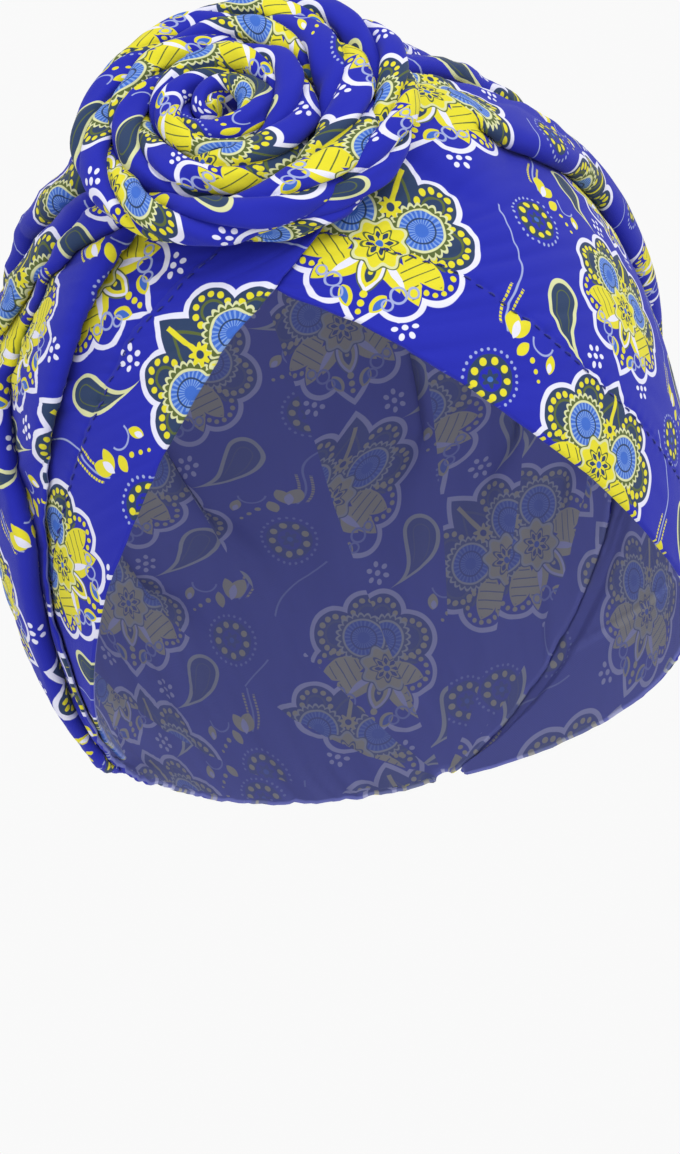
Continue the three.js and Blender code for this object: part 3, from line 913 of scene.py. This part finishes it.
# Columns follow the strands round the rope; a strand bulges between two creases.
side = np.linspace(0, 2 * np.pi, knot["sides"], endpoint=False)[None, :]
angle = side - (2 * np.pi * walked / knot["twistLength"])[:, None]
crossed = np.abs(np.sin(side * knot["strands"] / 2))
uneven = 1 + 0.35 * np.sin(walked / 19)[:, None] * np.cos(side + 1)
bulge = 1 - knot["strandDepth"] * uneven * (1 - crossed) ** 2.4
ripple = ripples(walked[:, None], side * 6.2, 11, 15, 4, 0.8, 2.0) * (0.35 + 0.65 * crossed)
taper = np.clip(np.minimum((turn + 0.12) / 0.05, (3.8 - turn) / 0.06), 0, 1)[:, None]
taper = 0.25 + 0.75 * np.sqrt(1 - (1 - taper) ** 2)
outwardPart = np.cos(angle) * (halfWidth[:, None] * bulge + ripple) * taper
tall = np.where(np.sin(angle) > 0, knot["rise"] * (halfWidth / 6.2)[:, None] ** 0.5, depth[:, None])
upPart = np.sin(angle) * (tall * bulge + ripple) * taper
rope = ropeLine[:, None, :] + outward[:, None, :] * outwardPart[..., None] + knotUp * upPart[..., None]
steps, sides = knot["steps"], knot["sides"]
index = np.arange(steps * sides).reshape(steps, sides)
nextIndex = np.roll(index, -1, axis=1)
quads = np.stack([index[:-1], index[1:], nextIndex[1:], nextIndex[:-1]], -1).reshape(-1, 4)
v = np.linspace(0, 1, sides + 1)
length = walked / walked[-1]
u0, v0 = np.meshgrid(length, v, indexing="ij")
place = np.stack([0.005 + 0.99 * v0, 0.005 + 0.98 * u0], -1)
bake = np.stack([place[:-1, :-1], place[1:, :-1], place[1:, 1:], place[:-1, 1:]], 2).reshape(-1, 4, 2)
ropeCloth = np.stack([v0 * 46, walked[:, None] + 0 * v0], -1) * mm
printed = np.stack([ropeCloth[:-1, :-1], ropeCloth[1:, :-1], ropeCloth[1:, 1:], ropeCloth[:-1, 1:]], 2)
strand = np.arange(sides) * knot["strands"] // sides
printed = printed + (strand[:, None] * np.array([knot["strandShift"]]) * mm)[None, :, None, :]
printed = printed.reshape(-1, 4, 2)
# closed ends: rings of quads that fold the last ring onto itself
caps = []
for ring in (index[0], index[-1][::-1]):
    half = sides // 2
    a = ring[:half]
    b = ring[::-1][:half]
    caps.append(np.stack([a[:-1], a[1:], b[1:], b[:-1]], -1))
faces = np.concatenate([quads] + caps)
capCount = sum(len(c) for c in caps)
printed = np.concatenate([printed, np.zeros((capCount, 4, 2))])
bake = np.concatenate([bake, np.tile([[0.001, 0.992], [0.003, 0.992], [0.003, 0.994], [0.001, 0.994]], (capCount, 1, 1))])
knotPiece = makeMesh("knot_rope", rope.reshape(-1, 3), faces, printed, bake, [outside])
print("knot", len(knotPiece.data.polygons))

# ---- frame

for piece in (leftStitches, rightStitches):
    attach(piece, "root")
for piece, node in ((crownPiece, "crown"), (leftPiece, "left_band"), (rightPiece, "right_band"), (knotPiece, "rosette")):
    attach(piece, "root")
    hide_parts(node)

# ---- stage

stage = {"floorDrop": 900.0, "floorColour": (0.93, 0.93, 0.93, 1.0)}
floorMesh = bpy.data.meshes.new("studio_floor")
s = 3.0
z = -stage["floorDrop"] * mm
floorMesh.from_pydata([(-s, -s, z), (s, -s, z), (s, s, z), (-s, s, z)], [], [(0, 1, 2, 3)])
floor = bpy.data.objects.new("studio_floor", floorMesh)
scene.collection.objects.link(floor)
floorMesh.materials.append(plainMaterial("floor", stage["floorColour"], 0.9))

world = bpy.data.worlds.new("studio")
scene.world = world
world.use_nodes = True
world.node_tree.nodes["Background"].inputs["Color"].default_value = (1.0, 1.0, 1.0, 1.0)
world.node_tree.nodes["Background"].inputs["Strength"].default_value = 0.95
scene.view_settings.view_transform = "Standard"


def areaLight(name, place, target, size, power):
    light = bpy.data.lights.new(name, "AREA")
    light.size = size
    light.energy = power
    lamp = bpy.data.objects.new(name, light)
    scene.collection.objects.link(lamp)
    lamp.location = place
    direction = np.array(target) - np.array(place)
    from mathutils import Vector
    lamp.rotation_euler = Vector(direction).to_track_quat("-Z", "Y").to_euler()
    return lamp


areaLight("key", (0.6, -0.9, 0.75), (0, 0, -0.08), 0.7, 8)
areaLight("fill", (-0.8, -0.9, 0.1), (0, 0, -0.08), 0.8, 1.5)

# ---- camera

view = {"turn": 4.0, "lean": 13.77, "place": [102.1, -1596.8, -131.3], "lens": 189.7}
turnAngle, lean = math.radians(view["turn"]), math.radians(view["lean"])
across = np.array([math.cos(turnAngle), math.sin(turnAngle), 0])
look = np.array([-math.sin(turnAngle), math.cos(turnAngle), 0])
right = math.cos(lean) * across - math.sin(lean) * np.array([0, 0, 1])
upward = math.sin(lean) * across + math.cos(lean) * np.array([0, 0, 1])
from mathutils import Matrix
cameraData = bpy.data.cameras.new("camera")
camera = bpy.data.objects.new("camera", cameraData)
scene.collection.objects.link(camera)
place = np.array(view["place"]) * mm
camera.matrix_world = Matrix([
    [right[0], upward[0], -look[0], place[0]],
    [right[1], upward[1], -look[1], place[1]],
    [right[2], upward[2], -look[2], place[2]],
    [0, 0, 0, 1],
])
cameraData.sensor_fit = "VERTICAL"
cameraData.sensor_height = 36
cameraData.sensor_width = 36
cameraData.lens = view["lens"]
cameraData.clip_end = 20
scene.camera = camera
